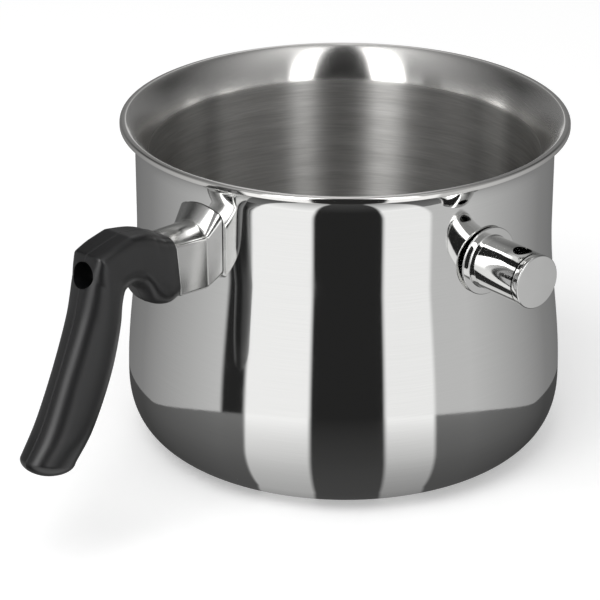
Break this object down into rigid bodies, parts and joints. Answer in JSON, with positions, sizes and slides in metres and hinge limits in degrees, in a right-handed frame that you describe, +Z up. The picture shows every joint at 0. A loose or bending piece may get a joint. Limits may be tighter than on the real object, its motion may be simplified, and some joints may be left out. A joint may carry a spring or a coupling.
{
  "type": "milk boiler",
  "caption": "Double-walled steel simmering pot with a flared lip, a side handle and a push-on steam whistle on the filler neck of its water jacket.",
  "frame": {"origin": "centre of the flat base, on the surface the pot stands on", "axes": "+Z up along the pot's axis, -X along the handle, the whistle close to -Y"},
  "size_m": [0.2398, 0.1797, 0.12],
  "materials": {
    "polished_steel": "mirror polished stainless steel",
    "brushed_steel": "brushed round the pot",
    "chrome": "bright chrome",
    "plain_steel": "plain rolled steel",
    "bakelite": "satin moulded bakelite",
    "silicone": "matt silicone"
  },
  "bodies": {
    "pot": {"outer_body": "polished_steel", "inner_pot": "brushed_steel", "filler_neck": "plain_steel", "handle_grip": "bakelite", "handle_ferrule": "chrome", "handle_bracket": "plain_steel", "bracket_nut": "plain_steel", "handle_screw": "plain_steel", "spring_washer": "plain_steel"},
    "seal": {"whistle_seal": "silicone"},
    "whistle": {"whistle_tube": "chrome", "whistle_end_cap": "chrome", "whistle_windway": "plain_steel"}
  },
  "joints": [
    {"name": "whistle_pull", "type": "slide", "parent": "pot", "child": "seal", "axis": [-0.1513, -0.9885, 0], "range_m": [0, 0.03]},
    {"name": "whistle_turn", "type": "hinge", "parent": "seal", "child": "whistle", "pos_m": [-0.01331, -0.08699, 0.0886], "axis": [-0.1513, -0.9885, 0], "continuous": true}
  ]
}
